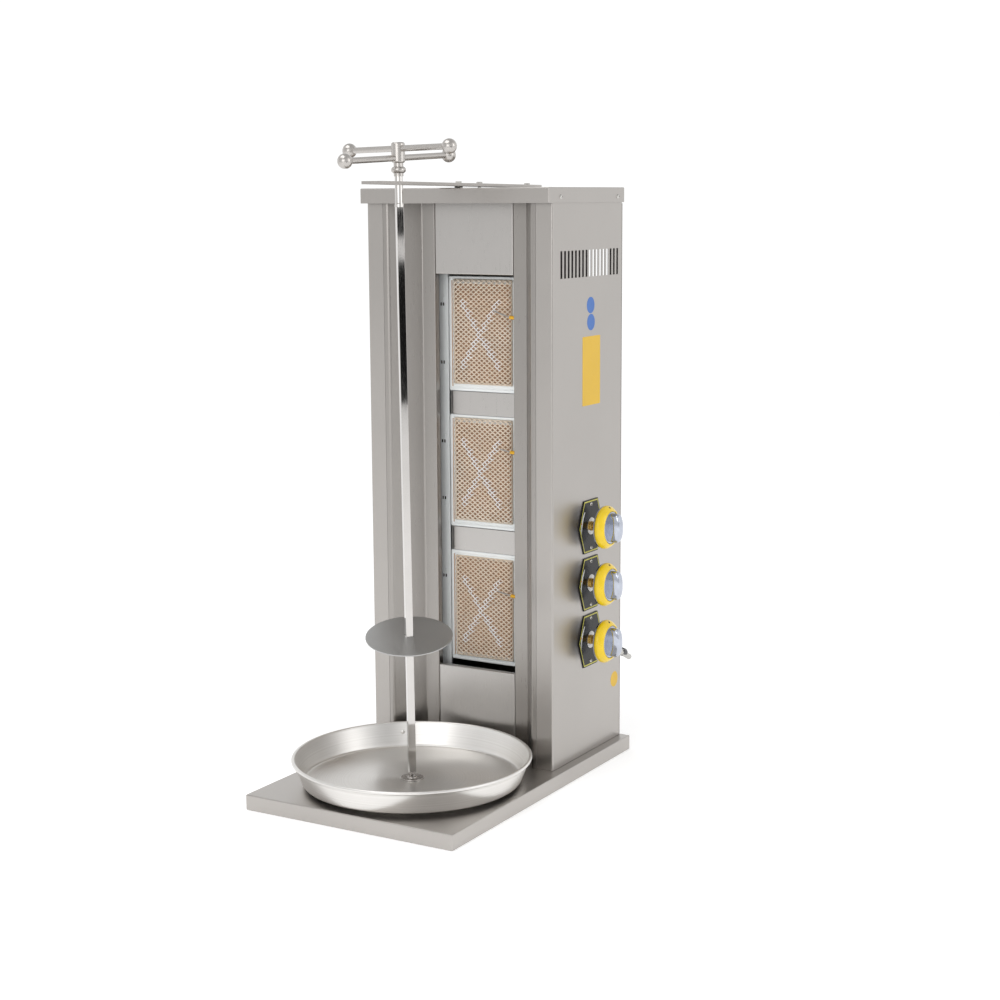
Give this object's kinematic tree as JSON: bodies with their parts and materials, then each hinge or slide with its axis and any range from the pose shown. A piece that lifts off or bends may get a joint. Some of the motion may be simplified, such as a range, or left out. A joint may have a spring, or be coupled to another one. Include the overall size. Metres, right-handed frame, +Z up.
{
  "type": "vertical rotisserie broiler",
  "caption": "Gas-fired vertical broiler: upright cabinet with stacked infrared burners in a reflector recess, hand-turned spit with a loose disc, drip pan and side gas controls.",
  "frame": {"origin": "centre of the box round the whole broiler, on the surface it stands on", "axes": "+Z up, +X towards the gas controls (the operator's right when facing the burners), +Y from the drip pan towards the back of the cabinet"},
  "size_m": [0.443, 0.6883, 1.0847],
  "materials": {
    "cabinet_steel": "satin stainless sheet",
    "reflector_steel": "satin stainless sheet",
    "base_steel": "satin stainless sheet",
    "burner_steel": "aluminised pressed steel, pale",
    "mesh_wire": "heat-tinted expanded mesh",
    "ceramic": "matt porous ceramic",
    "sensor_metal": "brass sleeve on a thin steel rod",
    "aluminium_pan": "spun aluminium",
    "spit_steel": "polished stainless",
    "disc_steel": "satin stainless sheet",
    "arm_steel": "satin stainless flat bar",
    "bolt_steel": "plain steel",
    "spacer_steel": "plain steel nut",
    "valve_brass": "machined brass",
    "gas_copper": "drawn copper tube",
    "plate_black": "gloss black enamel with a yellow edge",
    "ring_yellow": "gloss yellow",
    "knob_chrome": "chrome-plated"
  },
  "bodies": {
    "cabinet": {"side_panel_right": "cabinet_steel", "side_panel_left": "cabinet_steel", "rear_panel": "cabinet_steel", "top_cap": "cabinet_steel", "reflector_right": "reflector_steel", "reflector_left": "reflector_steel", "upper_front_panel": "reflector_steel", "lower_front_panel": "reflector_steel", "cover_strip_upper": "reflector_steel", "cover_strip_lower": "reflector_steel", "base_tray": "base_steel", "burner_rail_right": "burner_steel", "burner_rail_left": "burner_steel", "burner_frame_1": "burner_steel", "burner_frame_2": "burner_steel", "burner_frame_3": "burner_steel", "burner_body_1": "burner_steel", "burner_body_2": "burner_steel", "burner_body_3": "burner_steel", "burner_mesh_1": "mesh_wire", "burner_mesh_2": "mesh_wire", "burner_mesh_3": "mesh_wire", "burner_ceramic_1": "ceramic", "burner_ceramic_2": "ceramic", "burner_ceramic_3": "ceramic", "thermocouple_1": "sensor_metal", "thermocouple_2": "sensor_metal", "thermocouple_3": "sensor_metal", "drip_pan": "aluminium_pan", "spit_socket": "spit_steel", "top_arm": "arm_steel", "arm_bolt_front": "bolt_steel", "arm_bolt_middle": "bolt_steel", "arm_bolt_rear": "bolt_steel", "arm_spacer": "spacer_steel", "valve_body_1": "valve_brass", "valve_body_2": "valve_brass", "valve_body_3": "valve_brass", "gas_inlet": "valve_brass", "gas_manifold": "gas_copper", "supply_tube_1": "gas_copper", "supply_tube_2": "gas_copper", "supply_tube_3": "gas_copper", "knob_plate_1": "plate_black", "knob_plate_2": "plate_black", "knob_plate_3": "plate_black"},
    "spit": {"spit_rod": "spit_steel", "spit_hub": "spit_steel", "handle_rod_upper": "spit_steel", "handle_rod_lower": "spit_steel"},
    "disc": {"meat_disc": "disc_steel"},
    "valve_stem_body_1": {"valve_stem_1": "valve_brass"},
    "knob_body_1": {"knob_1": "knob_chrome", "knob_ring_1": "ring_yellow"},
    "valve_stem_body_2": {"valve_stem_2": "valve_brass"},
    "knob_body_2": {"knob_2": "knob_chrome", "knob_ring_2": "ring_yellow"},
    "valve_stem_body_3": {"valve_stem_3": "valve_brass"},
    "knob_body_3": {"knob_3": "knob_chrome", "knob_ring_3": "ring_yellow"}
  },
  "joints": [
    {"name": "spit_spin", "type": "hinge", "parent": "cabinet", "child": "spit", "pos_m": [-0.01745, -0.14279, 0.0374], "axis": [-0.0107, 0, 0.9999], "continuous": true},
    {"name": "disc_slide", "type": "slide", "parent": "spit", "child": "disc", "axis": [-0.0107, 0, 0.9999], "range_m": [-0.2, 0.65]},
    {"name": "control_1_turn", "type": "hinge", "parent": "cabinet", "child": "valve_stem_body_1", "pos_m": [0.16055, 0.15821, 0.4315], "axis": [1, 0, 0], "range_deg": [0, 180]},
    {"name": "control_1_push", "type": "slide", "parent": "valve_stem_body_1", "child": "knob_body_1", "axis": [-1, 0, 0], "range_m": [0, 0.004], "stiffness_N_per_m": 900, "springref_m": -0.003},
    {"name": "control_2_turn", "type": "hinge", "parent": "cabinet", "child": "valve_stem_body_2", "pos_m": [0.16055, 0.15821, 0.3308], "axis": [1, 0, 0], "range_deg": [0, 180]},
    {"name": "control_2_push", "type": "slide", "parent": "valve_stem_body_2", "child": "knob_body_2", "axis": [-1, 0, 0], "range_m": [0, 0.004], "stiffness_N_per_m": 900, "springref_m": -0.003},
    {"name": "control_3_turn", "type": "hinge", "parent": "cabinet", "child": "valve_stem_body_3", "pos_m": [0.16055, 0.15821, 0.2297], "axis": [1, 0, 0], "range_deg": [0, 180]},
    {"name": "control_3_push", "type": "slide", "parent": "valve_stem_body_3", "child": "knob_body_3", "axis": [-1, 0, 0], "range_m": [0, 0.004], "stiffness_N_per_m": 900, "springref_m": -0.003}
  ]
}
